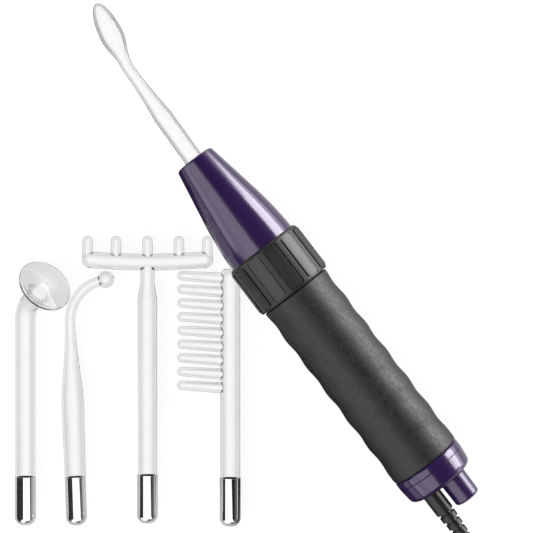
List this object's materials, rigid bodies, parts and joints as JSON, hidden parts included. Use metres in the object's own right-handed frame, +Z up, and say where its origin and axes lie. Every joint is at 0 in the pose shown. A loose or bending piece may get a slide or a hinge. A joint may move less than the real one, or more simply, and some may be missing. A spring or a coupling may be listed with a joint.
{
  "type": "violet ray machine",
  "caption": "Hand-held high-frequency wand with a leaf-shaped glass electrode in its nose, an intensity knob and plug-in mains lead at its tail, and spare glass electrodes laid beside it.",
  "frame": {"origin": "centre of the bottom of the box round the handpiece and the spare electrodes, on the table", "axes": "+X along the handpiece from its knob to its nose, +Y towards the spare electrodes, +Z up"},
  "size_m": [0.4654, 0.2168, 0.0438],
  "materials": {
    "purple_plastic": "glossy moulded",
    "black_plastic": "satin moulded",
    "tube_plastic": "moulded",
    "foam": "soft closed-cell foam",
    "soft_black": "smooth",
    "glass": "clear",
    "cap_metal": "polished",
    "brass": "turned",
    "steel": "plain",
    "iron": "plain",
    "contact_metal": "polished",
    "wound_wire": "enamelled copper wire, wound",
    "board": "laminate",
    "wax_paper": "waxed",
    "insulator": "plain",
    "lead_wire": "insulated"
  },
  "bodies": {
    "handle": {"nose_cone": "purple_plastic", "handle_tube": "tube_plastic", "foam_grip": "foam", "end_cap": "purple_plastic", "power_inlet": "black_plastic", "inlet_pins": "brass", "spindle_bush": "brass", "reed_post": "brass", "magnet_core": "iron", "magnet_bobbin": "board", "magnet_winding": "wound_wire", "magnet_bracket": "steel", "bracket_screws": "steel", "chassis_board": "board", "capacitor": "wax_paper", "coil_former": "board", "secondary_winding": "wound_wire", "primary_winding": "wound_wire", "socket_insulator": "insulator", "socket_sleeve": "brass", "plunger_spring": "steel", "spring_washer": "brass", "high_voltage_lead": "lead_wire", "primary_lead": "lead_wire", "supply_lead": "lead_wire", "return_lead": "lead_wire"},
    "collar": {"collar": "black_plastic"},
    "knob": {"knob": "purple_plastic", "knob_spindle": "steel"},
    "carriage": {"contact_carriage": "brass", "fixed_contact": "contact_metal"},
    "reed": {"reed": "steel", "armature": "iron", "reed_contact": "contact_metal"},
    "plunger": {"contact_plunger": "brass", "plunger_clip": "steel"},
    "fitted_electrode": {"leaf_glass": "glass", "leaf_cap": "cap_metal"},
    "lead": {"lead_connector": "black_plastic", "strain_relief": "soft_black", "cord_run": "soft_black", "cord_coil": "soft_black", "coil_tie": "soft_black", "cord_tail": "soft_black", "plug_relief": "soft_black", "mains_plug": "black_plastic", "plug_pins": "steel"},
    "mushroom_electrode": {"mushroom_glass": "glass", "mushroom_cap": "cap_metal"},
    "ball_electrode": {"ball_glass": "glass", "ball_cap": "cap_metal"},
    "rake_electrode": {"rake_glass": "glass", "rake_cap": "cap_metal"},
    "comb_electrode": {"comb_glass": "glass", "comb_cap": "cap_metal"}
  },
  "joints": [
    {"name": "knob_turn", "type": "hinge", "parent": "handle", "child": "knob", "pos_m": [-0.155, -0.09299, 0.0219], "axis": [1, 0, 0], "range_deg": [0, 300]},
    {"name": "contact_feed", "type": "slide", "parent": "handle", "child": "carriage", "axis": [-1, 0, 0], "range_m": [0, 0.000583]},
    {"name": "reed_swing", "type": "hinge", "parent": "handle", "child": "reed", "pos_m": [-0.06421, -0.08289, 0.0149], "axis": [0, 1, 0], "range_deg": [-1, 1], "stiffness_Nm_per_rad": 0.02},
    {"name": "plunger_press", "type": "slide", "parent": "handle", "child": "plunger", "axis": [-1, 0, 0], "range_m": [0, 0.0015], "stiffness_N_per_m": 50, "springref_m": -0.004, "deforming": ["plunger_spring"]},
    {"name": "electrode_pull", "type": "slide", "parent": "handle", "child": "fitted_electrode", "axis": [1, 0, 0], "range_m": [0, 0.06]},
    {"name": "collar_turn", "type": "hinge", "parent": "handle", "child": "collar", "pos_m": [0, -0.08689, 0.0219], "axis": [1, 0, 0], "range_deg": [0, 90]},
    {"name": "lead_unplug", "type": "slide", "parent": "handle", "child": "lead", "axis": [-1, 0, 0], "range_m": [0, 0.014]},
    {"name": "mushroom_lift", "type": "slide", "parent": "handle", "child": "mushroom_electrode", "axis": [0, 0, 1], "range_m": [0, 0.06]},
    {"name": "rake_lift", "type": "slide", "parent": "handle", "child": "rake_electrode", "axis": [0, 0, 1], "range_m": [0, 0.06]},
    {"name": "ball_draw", "type": "slide", "parent": "handle", "child": "ball_electrode", "axis": [-0.7934, 0.6088, 0], "range_m": [0, 0.06]},
    {"name": "comb_draw", "type": "slide", "parent": "handle", "child": "comb_electrode", "axis": [-0.7934, 0.6088, 0], "range_m": [0, 0.06]}
  ],
  "couplings": [
    {"joint": "knob_turn", "follows": "contact_feed", "rad_per_m": 8976}
  ]
}
